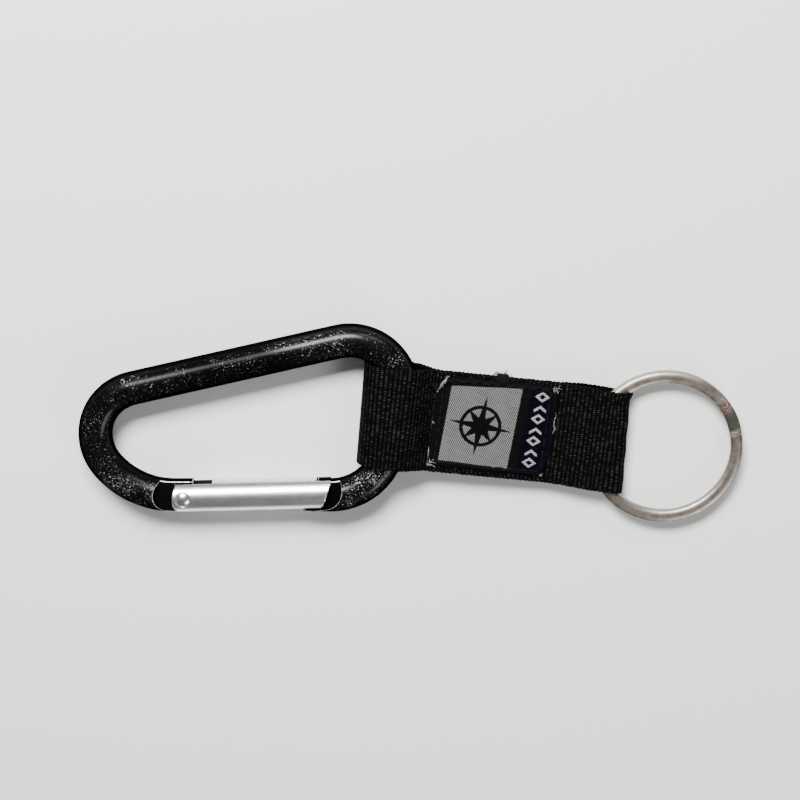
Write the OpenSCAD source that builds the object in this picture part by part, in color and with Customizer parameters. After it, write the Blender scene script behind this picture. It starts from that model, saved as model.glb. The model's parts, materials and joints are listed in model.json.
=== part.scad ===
// Offset-D accessory carabiner with a folded webbing strap and a split ring.
// Lies flat: X along the gate, +Y from the gate to the long back bar, +Z up.

/* [Carabiner] */
// Diameter of the bent rod
rod_d = 8; // [7:0.1:8.4]
// Length of the gate line between the two rod ends
gate_line = 37.1; // [34:0.1:40]
// Bend radius of the nose corner, on the rod's centreline
nose_bend_r = 14.2; // [12:0.1:15]
// Bend radius of the strap corner
strap_bend_r = 12.2; // [11:0.1:13]
// Bend radius of the narrow end, next to the back bar
back_bend_r = 11.7; // [10:0.1:13]
// Bend radius of the narrow end, next to the gate
hinge_bend_r = 20.15; // [18:0.1:22]

/* [Gate] */
// Diameter of the gate
gate_d = 7.6; // [7.2:0.1:7.8]
// Thickness of the flat tongues on the rod's ends
tang_t = 3.2; // [2.6:0.1:3.4]
// Diameter of the hinge rivet's shank
rivet_d = 2.5; // [2:0.1:3]
// Distance of the rivet, and of the gate's axis there, below the rod's axis
rivet_drop = 0.25; // [0.1:0.05:0.4]
// How far the closed gate stands up towards the inside, about its rivet, in degrees
gate_lift = 1.5; // [0.5:0.1:1.5]
// Turns of the gate spring
spring_turns = 9; // [5:1:12]

/* [Strap] */
// Width of the webbing
webbing_w = 24.5; // [20:0.5:25]
// Thickness of one layer of webbing
webbing_t = 1.1; // [0.9:0.1:1.3]
// Length of the woven label
label_l = 27.8; // [20:0.1:28.2]
// Width of the woven label
label_w = 22.4; // [15:0.1:22.4]
// Thickness of the woven label
label_t = 0.5; // [0.3:0.1:0.6]
// How far the label sits towards the strap's upper edge
label_shift = 1; // [0:0.1:1]
// Length of one stitch
stitch_l = 2; // [1.5:0.1:3]

/* [Ring] */
// Outer diameter of the split ring
ring_d = 37.2; // [37:0.1:37.4]
// Radial width of the ring's wire
wire_w = 2.9; // [2.4:0.1:2.9]
// Height of one turn of the wire
wire_h = 1.46; // [1.2:0.01:1.48]

/* [Hidden] */

$fn = 64;
eps = 0.01;
margin = 1;
// Longer than anything that is cut away in one go
clear_l = 12;

// Carabiner outline. It is drawn in the gate line's frame: the origin is on the axis of the
// rod's two ends, near the rivet, and the rod's centreline runs counter-clockwise from the nose.
rod_r = rod_d / 2;
hinge_end_x = -2.9;
nose_end_x = hinge_end_x + gate_line;
nose_bend_deg = 76;
strap_bend_deg = 117;
back_bend_deg = 116;
nose_side_deg = nose_bend_deg;
back_bar_deg = nose_side_deg + strap_bend_deg;
narrow_end_deg = back_bar_deg + back_bend_deg;

function heading(a) = [cos(a), sin(a)];
function bend(r, a, b) = r * [sin(b) - sin(a), cos(a) - cos(b)];
function bend_centre(p, r, a) = p + r * [-sin(a), cos(a)];
function cross2(a, b) = a[0] * b[1] - a[1] * b[0];

// The two straights take up what the four bends leave open.
bends_sum = [gate_line, 0]
    + bend(nose_bend_r, 0, nose_side_deg)
    + bend(strap_bend_r, nose_side_deg, back_bar_deg)
    + bend(back_bend_r, back_bar_deg, narrow_end_deg)
    + bend(hinge_bend_r, narrow_end_deg, 360);
straights_det = cross2(heading(nose_side_deg), heading(back_bar_deg));
nose_side_l = cross2(-bends_sum, heading(back_bar_deg)) / straights_det;
back_bar_l = cross2(heading(nose_side_deg), -bends_sum) / straights_det;

p_nose = [nose_end_x, 0];
p_side = p_nose + bend(nose_bend_r, 0, nose_side_deg);
p_corner = p_side + nose_side_l * heading(nose_side_deg);
p_bar = p_corner + bend(strap_bend_r, nose_side_deg, back_bar_deg);
p_back = p_bar + back_bar_l * heading(back_bar_deg);
p_narrow = p_back + bend(back_bend_r, back_bar_deg, narrow_end_deg);

// Recesses milled beside the tongues
hinge_recess_r = 4.3;
hinge_recess = [-3.35, 0.5];
nose_recess_r = 5.1;
nose_recess = [31.9, 1.9];
hinge_tang_x = 1.8;
// The straights are a hair thicker than the bends and reach a little into them, so that the
// pieces of the rod join cleanly.
bend_step = 0.01;
joint_reach = 0.05;
nose_slant_top_x = 31.4;
nose_slant_bottom_x = 27.7;
slant_gap = 0.05;

// Gate
gate_r = gate_d / 2;
rivet_x = -0.6;
gate_left_x = -3.2;
gate_left_r = 6.9;
gate_end_top_x = 34.9;
gate_end_bottom_x = 32;
slot_play = 0.2;
slot_w = tang_t + slot_play;
hinge_slot_end_x = 6.3;
bore_r = 1.6;
bore_end_x = 22;
rivet_r = rivet_d / 2;
rivet_play = 0.05;
rivet_head_r = 1.55;
rivet_seat_z = 3.35;
rivet_rim = 0.15;
rivet_dome = 0.5;
rivet_dome_r = (rivet_head_r * rivet_head_r + rivet_dome * rivet_dome) / (2 * rivet_dome);

// Plunger and spring, on the gate's axis
plunger_tip_r = 0.9;
plunger_gap = 0.02;
plunger_stem_end_x = 6.8;
plunger_r = 1.54;
plunger_end_x = 10.8;
spring_coil_r = 1.2;
spring_wire_r = 0.22;
spring_steps = 14;
spring_sides = 8;
spring_play = 0.03;

// Strap, in its own frame: u along the strap from the carabiner, v across it. The strap's
// origin is inside the wide end of the carabiner.
strap_at = [42.2, 19.6];
strap_deg = -6.7;
fit = 0.15;
loop_in_r = rod_r + fit;
loop_z = webbing_t + loop_in_r;
loop_fold_u = 4.35;
loop_crest_u = 8.5;
ring_z = webbing_t + fit + wire_h;
ring_u = 72.1;
ring_fold_u = 61.1;
ring_crest_u = 52.9;
neck_u = 15.6;
label_margin = 1;
ring_neck_u = neck_u + label_l + 2 * label_margin;
strap_tilt = atan((loop_z - ring_z) / (ring_crest_u - loop_crest_u));
function strap_z(u) = loop_z - tan(strap_tilt) * (u - loop_crest_u);
middle_l = (ring_neck_u - neck_u) / cos(strap_tilt);
barrel_play = 0.08;
neck_cut = 1;
neck_r = 1.1 * webbing_t;
// The two layers of a loop meet this far short of its neck, in a tight crease.
neck_join = 1.9;
crease_r = 0.05;
thread_d = 0.3;
stitch_inset = 1.2;
stitch_gap = 0.7;

// Ring
ring_r = ring_d / 2;
ring_in_r = ring_r - wire_w;
jog_deg = 22;
jog_from_deg = 8;
wire_edge = 0.5;
coil_gap = 0.04;
jog_steps = 4;
// Each step reaches into its neighbours, and every other one is a little slimmer.
jog_reach_deg = 0.2;
jog_inset = 0.01;
ring_centre = strap_at + ring_u * heading(strap_deg);

// The part's origin is at the centre of its outline, on the surface it lies on.
x_min = bend_centre(p_back, back_bend_r, back_bar_deg)[0] - back_bend_r - rod_r;
x_max = ring_centre[0] + ring_r;
y_min = ring_centre[1] - ring_r;
y_max = bend_centre(p_corner, strap_bend_r, nose_side_deg)[1] + strap_bend_r + rod_r;
origin = [(x_min + x_max) / 2, (y_min + y_max) / 2];

black_metal = [0.06, 0.06, 0.07];
bare_metal = [0.72, 0.72, 0.7];
steel = [0.6, 0.58, 0.56];
webbing_black = [0.09, 0.085, 0.09];
label_grey = [0.45, 0.46, 0.5];
thread_black = [0.04, 0.04, 0.05];

// Puts children drawn in the gate line's frame, with z = 0 at the rod's centre, in place.
module in_gate_frame() {
    translate([-origin[0], -origin[1], loop_z])
        children();
}

// Puts the gate's pieces, drawn with the rivet on their axis, in place on the rivet, turned by
// the closed gate's lift.
module in_lifted_gate() {
    in_gate_frame()
        translate([rivet_x, -rivet_drop, 0])
            rotate(gate_lift)
                translate([-rivet_x, 0, 0])
                    children();
}

// Puts children drawn in the strap's frame in place.
module in_strap_frame() {
    translate([strap_at[0] - origin[0], strap_at[1] - origin[1], 0])
        rotate(strap_deg)
            children();
}

// Puts children drawn along the sewn middle, from its carabiner end, in place.
module in_middle_frame() {
    in_strap_frame()
        translate([neck_u, 0, strap_z(neck_u)])
            rotate([0, strap_tilt, 0])
                children();
}

// A cylinder along X from x0 to x1.
module rod_x(r, x0, x1) {
    translate([x0, 0, 0])
        rotate([0, 90, 0])
            cylinder(r = r, h = x1 - x0);
}

module rod_bend(p, r, from_deg, to_deg) {
    translate(bend_centre(p, r, from_deg))
        rotate(from_deg - 90)
            rotate_extrude(angle = to_deg - from_deg, $fn = 128)
                translate([r, 0])
                    circle(r = rod_r - bend_step);
}

module rod_straight(p, l, deg) {
    translate(p - joint_reach * heading(deg))
        rotate([0, 90, deg])
            cylinder(r = rod_r, h = l + 2 * joint_reach);
}

// Everything beyond a tongue's faces, over the outline given as a child.
module beside_tongue() {
    for (side = [-1, 1])
        translate([0, 0, side * (tang_t / 2 + rod_r)])
            linear_extrude(height = 2 * rod_r, center = true)
                children();
}

// The half plane left (side = -1) or right (side = 1) of a slanted line across the gate.
module beyond_slant(bottom_x, top_x, side) {
    reach = clear_l * side;
    slope = (top_x - bottom_x) / rod_d;
    tall = 2 * rod_r;
    polygon([
        [bottom_x - slope * rod_r, -tall],
        [top_x + slope * rod_r, tall],
        [top_x + reach, tall],
        [top_x + reach, -tall]
    ]);
}

module carabiner_body() {
    color(black_metal)
        in_gate_frame()
            difference() {
                union() {
                    rod_x(rod_r, hinge_end_x - joint_reach, hinge_tang_x);
                    rod_x(rod_r, nose_slant_bottom_x - margin, nose_end_x + joint_reach);
                    rod_bend(p_nose, nose_bend_r, 0, nose_side_deg);
                    rod_straight(p_side, nose_side_l, nose_side_deg);
                    rod_bend(p_corner, strap_bend_r, nose_side_deg, back_bar_deg);
                    rod_straight(p_bar, back_bar_l, back_bar_deg);
                    rod_bend(p_back, back_bend_r, back_bar_deg, narrow_end_deg);
                    rod_straight(p_narrow, 0, narrow_end_deg);
                    rod_bend(p_narrow, hinge_bend_r, narrow_end_deg, 360);
                }
                beside_tongue()
                    union() {
                        translate(hinge_recess)
                            circle(r = hinge_recess_r);
                        translate([hinge_recess[0], -rod_d])
                            square([clear_l, 2 * rod_d]);
                    }
                beside_tongue()
                    union() {
                        translate(nose_recess)
                            circle(r = nose_recess_r);
                        translate([nose_recess[0] - clear_l, -rod_d])
                            square([clear_l, 2 * rod_d]);
                    }
                linear_extrude(height = 2 * rod_d, center = true)
                    beyond_slant(nose_slant_bottom_x, nose_slant_top_x, -1);
                translate([rivet_x, -rivet_drop, 0])
                    cylinder(r = rivet_r + rivet_play, h = 2 * rod_d, center = true);
            }
}

module gate() {
    color(bare_metal)
        in_lifted_gate()
            difference() {
                intersection() {
                    rod_x(gate_r, gate_left_x, gate_end_top_x + margin);
                    linear_extrude(height = 2 * rod_d, center = true)
                        union() {
                            translate([gate_left_x + gate_left_r, 0])
                                circle(r = gate_left_r);
                            translate([gate_left_x + gate_left_r, -rod_r])
                                square([gate_end_top_x, rod_d]);
                        }
                }
                linear_extrude(height = 2 * rod_d, center = true)
                    beyond_slant(gate_end_bottom_x, gate_end_top_x, 1);
                translate([gate_left_x - margin, -rod_r, -slot_w / 2])
                    cube([hinge_slot_end_x - gate_left_x + margin, rod_d, slot_w]);
                linear_extrude(height = slot_w, center = true)
                    translate([-slant_gap, 0])
                        beyond_slant(nose_slant_bottom_x, nose_slant_top_x, 1);
                rod_x(bore_r, hinge_slot_end_x - margin, bore_end_x);
                translate([rivet_x, 0, 0])
                    cylinder(r = rivet_r, h = 2 * rod_d, center = true);
                for (side = [-1, 1])
                    translate([rivet_x, 0, side * (rivet_seat_z + margin)])
                        cylinder(r = rivet_head_r, h = 2 * margin, center = true);
            }
}

module rivet_head() {
    cylinder(r = rivet_head_r, h = rivet_rim);
    intersection() {
        translate([0, 0, rivet_rim + rivet_dome - rivet_dome_r])
            sphere(r = rivet_dome_r);
        translate([0, 0, rivet_rim / 2])
            cylinder(r = rivet_head_r, h = rivet_rim + rivet_dome);
    }
}

module gate_rivet() {
    color(bare_metal)
        in_lifted_gate()
            translate([rivet_x, 0, 0]) {
                cylinder(r = rivet_r, h = 2 * rivet_seat_z, center = true);
                translate([0, 0, rivet_seat_z])
                    rivet_head();
                mirror([0, 0, 1])
                    translate([0, 0, rivet_seat_z])
                        rivet_head();
            }
}

module gate_plunger() {
    tip_x = hinge_tang_x + plunger_gap + plunger_tip_r;
    color(steel)
        in_lifted_gate()
            union() {
                translate([tip_x, 0, 0])
                    sphere(r = plunger_tip_r);
                rod_x(plunger_tip_r, tip_x, plunger_stem_end_x + eps);
                rod_x(plunger_r, plunger_stem_end_x, plunger_end_x);
            }
}

// Point j of ring i around the spring's wire; the helix runs along X.
function spring_point(i, j, pitch) =
    let (turn = 360 * i / spring_steps, side = 360 * j / spring_sides,
         r = spring_coil_r + spring_wire_r * cos(side))
    [pitch * i / spring_steps + spring_wire_r * sin(side), r * cos(turn), r * sin(turn)];

module gate_spring() {
    room = bore_end_x - plunger_end_x - 2 * (spring_wire_r + spring_play);
    last = spring_turns * spring_steps;
    points = [
        for (i = [0:last], j = [0:spring_sides - 1])
            spring_point(i, j, room / spring_turns)
    ];
    start_cap = [[for (j = [0:spring_sides - 1]) spring_sides - 1 - j]];
    end_cap = [[for (j = [0:spring_sides - 1]) last * spring_sides + j]];
    walls = [
        for (i = [0:last - 1], j = [0:spring_sides - 1])
            let (a = i * spring_sides + j, b = i * spring_sides + (j + 1) % spring_sides)
            [a, b, b + spring_sides, a + spring_sides]
    ];
    color(steel)
        in_lifted_gate()
            translate([plunger_end_x + spring_wire_r + spring_play, 0, 0])
                mirror([0, 1, 0])
                    polyhedron(points, concat(start_cap, walls, end_cap));
}

// A closed band of webbing seen from its edge: two rounds joined to a neck.
module band_outline(fold_u, crest_u, z, in_r, neck) {
    side = neck[0] > crest_u ? 1 : -1;
    difference() {
        hull() {
            for (u = [fold_u, crest_u])
                translate([u, z])
                    circle(r = in_r + webbing_t);
            translate(neck)
                circle(r = neck_r);
        }
        hull() {
            for (u = [fold_u, crest_u])
                translate([u, z])
                    circle(r = in_r);
            translate([neck[0] - side * neck_join, neck[1]])
                circle(r = crease_r);
        }
    }
}

// Extrudes an outline drawn in u and z across the strap.
module across_strap(w) {
    rotate([90, 0, 0])
        linear_extrude(height = w, center = true)
            children();
}

// Room for the round end of the sewn middle at a neck, open away from the loop.
module neck_room(u, side) {
    across_strap(webbing_w + 2 * margin)
        translate([u, strap_z(u)])
            union() {
                circle(r = webbing_t + barrel_play);
                translate([side > 0 ? -neck_cut : neck_cut - clear_l, -clear_l])
                    square([clear_l, 2 * clear_l]);
            }
}

module webbing_carabiner_loop() {
    neck = [neck_u, strap_z(neck_u)];
    color(webbing_black)
        in_strap_frame()
            difference() {
                across_strap(webbing_w)
                    band_outline(loop_fold_u, loop_crest_u, loop_z, loop_in_r, neck);
                neck_room(neck_u, 1);
            }
}

module webbing_middle() {
    color(webbing_black)
        in_middle_frame()
            across_strap(webbing_w)
                hull() {
                    circle(r = webbing_t);
                    translate([middle_l, 0])
                        circle(r = webbing_t);
                }
}

module webbing_ring_loop() {
    neck = [ring_neck_u, strap_z(ring_neck_u)];
    color(webbing_black)
        in_strap_frame()
            difference() {
                across_strap(webbing_w)
                    band_outline(ring_fold_u, ring_crest_u, ring_z, wire_h + fit, neck);
                neck_room(ring_neck_u, -1);
            }
}

module label() {
    color(label_grey)
        in_middle_frame()
            translate([(middle_l - label_l) / 2, label_shift - label_w / 2, webbing_t])
                cube([label_l, label_w, label_t]);
}

// A rectangle of straight stitches in the plane z = 0.
module stitch_frame() {
    long = label_l - 2 * stitch_inset;
    short = label_w - 2 * stitch_inset;
    step = stitch_l + stitch_gap;
    long_n = floor((long - stitch_l) / step);
    short_n = floor((short - 3 * stitch_gap - stitch_l) / step);
    for (side = [-1, 1]) {
        for (i = [0:long_n])
            translate([(i - long_n / 2) * step, side * short / 2, 0])
                cube([stitch_l, thread_d, thread_d], center = true);
        for (i = [0:short_n])
            translate([side * long / 2, (i - short_n / 2) * step, 0])
                cube([thread_d, stitch_l, thread_d], center = true);
    }
}

module label_needle_thread() {
    color(thread_black)
        in_middle_frame()
            translate([middle_l / 2, label_shift, webbing_t + label_t + thread_d / 2])
                stitch_frame();
}

module label_bobbin_thread() {
    color(thread_black)
        in_middle_frame()
            translate([middle_l / 2, label_shift, -webbing_t - thread_d / 2])
                stitch_frame();
}

// Section of the wire from height z upwards, with its edges broken and in from it all round.
module wire_section(z, in = 0) {
    h = wire_h - coil_gap - 2 * in;
    w = wire_w - 2 * in;
    e = wire_edge;
    translate([ring_in_r + in, z + in])
        polygon([
            [e, 0], [w - e, 0], [w, e], [w, h - e],
            [w - e, h], [e, h], [0, h - e], [0, e]
        ]);
}

module wire_turn(z, from_deg, deg, in = 0) {
    rotate(from_deg)
        rotate_extrude(angle = deg, $fn = 120)
            wire_section(z, in);
}

// Two turns of wire; the jog climbs from the lower to the upper one in short steps.
module split_ring() {
    turn_deg = 360 - jog_deg;
    step_deg = jog_deg / jog_steps;
    climb = wire_h + coil_gap;
    color(steel)
        translate([ring_centre[0] - origin[0], ring_centre[1] - origin[1], ring_z])
            union() {
                wire_turn(-wire_h, jog_from_deg + jog_deg, turn_deg);
                wire_turn(coil_gap, jog_from_deg + jog_deg, turn_deg);
                for (i = [0:jog_steps - 1])
                    wire_turn(
                        climb * (i + 0.5) / jog_steps - wire_h,
                        jog_from_deg + i * step_deg - jog_reach_deg,
                        step_deg + 2 * jog_reach_deg,
                        jog_inset * (1 + i % 2)
                    );
            }
}

carabiner_body();
gate();
gate_rivet();
gate_plunger();
gate_spring();
webbing_carabiner_loop();
webbing_middle();
webbing_ring_loop();
label();
label_needle_thread();
label_bobbin_thread();
split_ring();
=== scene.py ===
import json
import math
from contextlib import contextmanager

import bmesh
import bpy
import numpy as np
from mathutils import Matrix, Vector, noise


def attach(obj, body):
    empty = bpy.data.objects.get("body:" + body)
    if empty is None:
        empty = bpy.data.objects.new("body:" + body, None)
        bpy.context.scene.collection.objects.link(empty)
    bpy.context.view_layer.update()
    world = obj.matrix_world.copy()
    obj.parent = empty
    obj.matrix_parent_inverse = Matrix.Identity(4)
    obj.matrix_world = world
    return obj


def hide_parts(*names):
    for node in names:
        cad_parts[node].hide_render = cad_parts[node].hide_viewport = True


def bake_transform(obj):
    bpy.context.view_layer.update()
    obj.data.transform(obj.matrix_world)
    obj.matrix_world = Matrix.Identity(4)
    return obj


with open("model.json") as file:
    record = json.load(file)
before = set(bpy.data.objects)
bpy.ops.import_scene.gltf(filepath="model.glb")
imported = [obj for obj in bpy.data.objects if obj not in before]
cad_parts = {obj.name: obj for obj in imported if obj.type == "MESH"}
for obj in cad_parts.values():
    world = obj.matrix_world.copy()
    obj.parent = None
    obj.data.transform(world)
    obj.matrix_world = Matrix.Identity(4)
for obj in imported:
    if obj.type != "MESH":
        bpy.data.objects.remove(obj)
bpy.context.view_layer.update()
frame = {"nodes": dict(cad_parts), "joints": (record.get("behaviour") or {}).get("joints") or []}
MM = 0.001

# Places that the frame's joints give, in metres.
JOINTS = {j["name"]: j for j in frame["joints"]}
RIVET = Vector(JOINTS["gate_hinge"]["pos_m"])
RING_CENTRE = Vector(JOINTS["ring_spin"]["pos_m"])
NECK = Vector(JOINTS["strap_flex"]["pos_m"])
RING_NECK = Vector(JOINTS["ring_end_flex"]["pos_m"])
ACROSS = Vector(JOINTS["strap_flex"]["axis"]).normalized()

# ---------------------------------------------------------------- camera, floor and light

VIEW_TILT = math.radians(14.5)
VIEW_DISTANCE = 0.46
VIEW_WIDTH = 0.18824
AIM = Vector((-0.0028, 0.00617, 0.00525))
FLOOR_SIZE, FLOOR_Z = 3, -0.0002
# Name, place, size and power of each soft light; all of them point at the origin.
LIGHTS = (
    ("key", (-0.12, 0.45, 0.5), (0.34, 0.2), 15.5),
    ("fill", (0.35, -0.45, 0.4), (0.3, 0.2), 2.2),
    ("line", (0.25, 0.64, 0.38), (0.3, 0.035), 1.2),
)
SKY_COLOR, SKY_STRENGTH = (0.92, 0.94, 0.95, 1), 0.16


def new_object(name, data):
    obj = bpy.data.objects.new(name, data)
    bpy.context.collection.objects.link(obj)
    return obj


def add_camera():
    """Looks down on the keyring, leaning from straight above towards +Y, with +Y up in the picture."""
    back = Vector((0, math.sin(VIEW_TILT), math.cos(VIEW_TILT)))
    up = Vector((0, math.cos(VIEW_TILT), -math.sin(VIEW_TILT)))
    right = up.cross(back)
    data = bpy.data.cameras.new("camera")
    data.sensor_width = 36
    data.lens = data.sensor_width * VIEW_DISTANCE / VIEW_WIDTH
    data.clip_start, data.clip_end = 0.01, 10
    camera = new_object("camera", data)
    turn = Matrix((right, up, back)).transposed().to_4x4()
    camera.matrix_world = Matrix.Translation(AIM + back * VIEW_DISTANCE) @ turn
    bpy.context.scene.camera = camera


def add_floor():
    bpy.ops.mesh.primitive_plane_add(size=FLOOR_SIZE, location=(0, 0, FLOOR_Z))
    floor = bpy.context.object
    floor.name = "floor"
    mat = bpy.data.materials.new("floor")
    mat.use_nodes = True
    shader = mat.node_tree.nodes["Principled BSDF"]
    shader.inputs["Base Color"].default_value = (0.78, 0.78, 0.77, 1)
    shader.inputs["Roughness"].default_value = 0.7
    floor.data.materials.append(mat)


def add_area(name, place, size, power):
    data = bpy.data.lights.new(name, "AREA")
    data.shape = "RECTANGLE"
    data.size, data.size_y = size
    data.energy = power
    light = new_object(name, data)
    light.location = place
    light.rotation_euler = (-Vector(place)).to_track_quat("-Z", "Y").to_euler()


def add_lights():
    for light in LIGHTS:
        add_area(*light)
    world = bpy.data.worlds.new("studio")
    world.use_nodes = True
    sky = world.node_tree.nodes["Background"]
    sky.inputs["Color"].default_value = SKY_COLOR
    sky.inputs["Strength"].default_value = SKY_STRENGTH
    bpy.context.scene.world = world


# ---------------------------------------------------------------- node materials

class Shade:
    """A material under construction: short calls that add nodes and return their outputs."""

    def __init__(self, name, rough, metal=0.0, **constants):
        self.mat = bpy.data.materials.new(name)
        self.mat.use_nodes = True
        self.nodes, self.links = self.mat.node_tree.nodes, self.mat.node_tree.links
        self.bsdf = self.nodes["Principled BSDF"]
        self.bsdf.inputs["Roughness"].default_value = rough
        self.bsdf.inputs["Metallic"].default_value = metal
        for socket, value in constants.items():
            self.bsdf.inputs[socket.replace("_", " ")].default_value = value
        where = self.nodes.new("ShaderNodeTexCoord")
        self.place = self.vector("MULTIPLY", where.outputs["Object"], (1 / MM,) * 3)
        self.normal = where.outputs["Normal"]

    def put(self, socket, value):
        if isinstance(value, bpy.types.NodeSocket):
            self.links.new(value, socket)
        else:
            socket.default_value = value

    def vector(self, operation, a, b):
        node = self.nodes.new("ShaderNodeVectorMath")
        node.operation = operation
        self.put(node.inputs[0], a)
        self.put(node.inputs[1], b)
        return node.outputs["Value" if operation in ("DOT_PRODUCT", "LENGTH", "DISTANCE") else "Vector"]

    def math(self, operation, a, b=0.5, c=0.0):
        node = self.nodes.new("ShaderNodeMath")
        node.operation = operation
        for i, value in enumerate((a, b, c)):
            self.put(node.inputs[i], value)
        return node.outputs[0]

    def noise(self, at, scale, detail=2.0, rough=0.5, warp=0.0):
        node = self.nodes.new("ShaderNodeTexNoise")
        self.put(node.inputs["Vector"], at)
        node.inputs["Scale"].default_value = scale
        node.inputs["Detail"].default_value = detail
        node.inputs["Roughness"].default_value = rough
        node.inputs["Distortion"].default_value = warp
        return node.outputs["Fac"]

    def step(self, value, low, high):
        """0 at low, 1 at high, smooth between; low may be the larger."""
        node = self.nodes.new("ShaderNodeMapRange")
        node.interpolation_type = "SMOOTHSTEP"
        self.put(node.inputs["Value"], value)
        flip = low > high
        node.inputs["From Min"].default_value = min(low, high)
        node.inputs["From Max"].default_value = max(low, high)
        node.inputs["To Min"].default_value = 1.0 if flip else 0.0
        node.inputs["To Max"].default_value = 0.0 if flip else 1.0
        return node.outputs["Result"]

    def ramp(self, value, low, high):
        """Value from 0 to 1 taken to the range low to high."""
        return self.math("MULTIPLY_ADD", value, high - low, low)

    def blend(self, amount, a, b):
        node = self.nodes.new("ShaderNodeMix")
        node.data_type = "RGBA"
        self.put(node.inputs["Factor"], amount)
        for socket, value in ((node.inputs[6], a), (node.inputs[7], b)):
            self.put(socket, value if isinstance(value, bpy.types.NodeSocket) else (*value, 1))
        return node.outputs[2]

    def attribute(self, name, output="Fac"):
        node = self.nodes.new("ShaderNodeAttribute")
        node.attribute_name = name
        return node.outputs[output]

    def bump(self, height, strength, distance):
        """Adds a relief, its distance in millimetres, on top of any that the material has."""
        node = self.nodes.new("ShaderNodeBump")
        node.inputs["Strength"].default_value = strength
        node.inputs["Distance"].default_value = distance * MM
        self.put(node.inputs["Height"], height)
        if self.bsdf.inputs["Normal"].is_linked:
            self.links.new(self.bsdf.inputs["Normal"].links[0].from_socket, node.inputs["Normal"])
        self.links.new(node.outputs["Normal"], self.bsdf.inputs["Normal"])

    def offset_noise(self, shift, *shape):
        """Noise from another part of its pattern, so that it doesn't repeat the others."""
        return self.noise(self.vector("ADD", self.place, shift), *shape)

    def facing(self):
        """0 where the surface faces the eye, 1 at its outline."""
        return self.nodes.new("ShaderNodeLayerWeight").outputs["Facing"]

    def color(self, value):
        self.put(self.bsdf.inputs["Base Color"], value)

    def specular(self, value):
        self.put(self.bsdf.inputs["Specular IOR Level"], value)

    def rough(self, value):
        self.put(self.bsdf.inputs["Roughness"], value)

    def metal(self, value):
        self.put(self.bsdf.inputs["Metallic"], value)


# ---------------------------------------------------------------- mesh helpers

WELD = 0.02
CUT_EDGE_DEG = 28


def grid_faces(rows, columns, closed=False):
    """Quads of a grid of points numbered row by row; closed joins the last column to the first."""
    r, c = np.meshgrid(np.arange(rows - 1), np.arange(columns if closed else columns - 1), indexing="ij")
    r, c = r.ravel() * columns, c.ravel()
    c1 = (c + 1) % columns
    return [tuple(f) for f in np.stack([r + c, r + c1, r + columns + c1, r + columns + c], axis=1)]


def tube_faces(rows, around):
    """Faces of a tube of points, row by row round it, with a cap on each end."""
    last = (rows - 1) * around
    caps = [tuple(reversed(range(around))), tuple(range(last, last + around))]
    return grid_faces(rows, around, closed=True) + caps


def shade_smooth(mesh):
    mesh.polygons.foreach_set("use_smooth", [True] * len(mesh.polygons))


def new_piece(name, points, faces, matrix, materials=()):
    """A mesh object from points in millimetres in a piece's own frame."""
    mesh = bpy.data.meshes.new(name)
    mesh.from_pydata([tuple(p) for p in points], [], [tuple(int(i) for i in f) for f in faces])
    mesh.transform(matrix @ Matrix.Scale(MM, 4))
    mesh.validate()
    for mat in materials:
        mesh.materials.append(mat)
    shade_smooth(mesh)
    return new_object(name, mesh)


def keep(obj, body, slot, *nodes):
    """The piece rides on a body and stands for the CAD nodes; slot is not used."""
    if body:
        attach(obj, body)
    if nodes:
        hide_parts(*nodes)


@contextmanager
def edited(mesh):
    """The mesh as a bmesh, written back at the end."""
    bm = bmesh.new()
    bm.from_mesh(mesh)
    yield bm
    bm.to_mesh(mesh)
    bm.free()


def face_outwards(mesh):
    with edited(mesh) as bm:
        bmesh.ops.recalc_face_normals(bm, faces=bm.faces)


def store(mesh, name, values):
    """Keeps a number, or a row of three, for each vertex, under a name that materials read."""
    values = np.asarray(values, np.float32)
    triple = values.ndim == 2
    attribute = mesh.attributes.new(name, "FLOAT_VECTOR" if triple else "FLOAT", "POINT")
    attribute.data.foreach_set("vector" if triple else "value", values.ravel())


def sharpen(mesh, degrees):
    """Marks the edges sharper than an angle, so that the faces beside them shade apart."""
    limit = math.radians(degrees)
    with edited(mesh) as bm:
        for edge in bm.edges:
            edge.smooth = not (len(edge.link_faces) == 2 and edge.calc_face_angle() > limit)


def cut(obj, cutter):
    """Takes the cutter's shape out of a mesh and removes the cutter."""
    change = obj.modifiers.new("cut", "BOOLEAN")
    change.operation = "DIFFERENCE"
    change.solver = "EXACT"
    change.object = cutter
    depsgraph = bpy.context.evaluated_depsgraph_get()
    mesh = bpy.data.meshes.new_from_object(obj.evaluated_get(depsgraph))
    obj.modifiers.clear()
    old = obj.data
    obj.data = mesh
    bpy.data.meshes.remove(old)
    bpy.data.objects.remove(cutter)


def bevel_cuts(mesh, width, segments, material):
    """Welds what the cuts left and rounds every sharp outer edge; the bevels take a material."""
    limit = math.radians(CUT_EDGE_DEG)
    with edited(mesh) as bm:
        bmesh.ops.remove_doubles(bm, verts=bm.verts, dist=WELD * MM)
        edges = [e for e in bm.edges if len(e.link_faces) == 2 and e.calc_face_angle_signed() > limit]
        bmesh.ops.bevel(
            bm, geom=edges, offset=width * MM, segments=segments, profile=0.5, affect="EDGES",
            clamp_overlap=False, loop_slide=True, material=material,
        )
    shade_smooth(mesh)


def prism(outline, z0, z1, matrix):
    """A closed prism over an outline drawn counter-clockwise in millimetres."""
    n = len(outline)
    points = [(x, y, z) for z in (z0, z1) for x, y in outline]
    sides = [(i, (i + 1) % n, n + (i + 1) % n, n + i) for i in range(n)]
    caps = [tuple(reversed(range(n))), tuple(range(n, 2 * n))]
    return new_piece("prism", points, sides + caps, matrix)


# ---------------------------------------------------------------- carabiner

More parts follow.
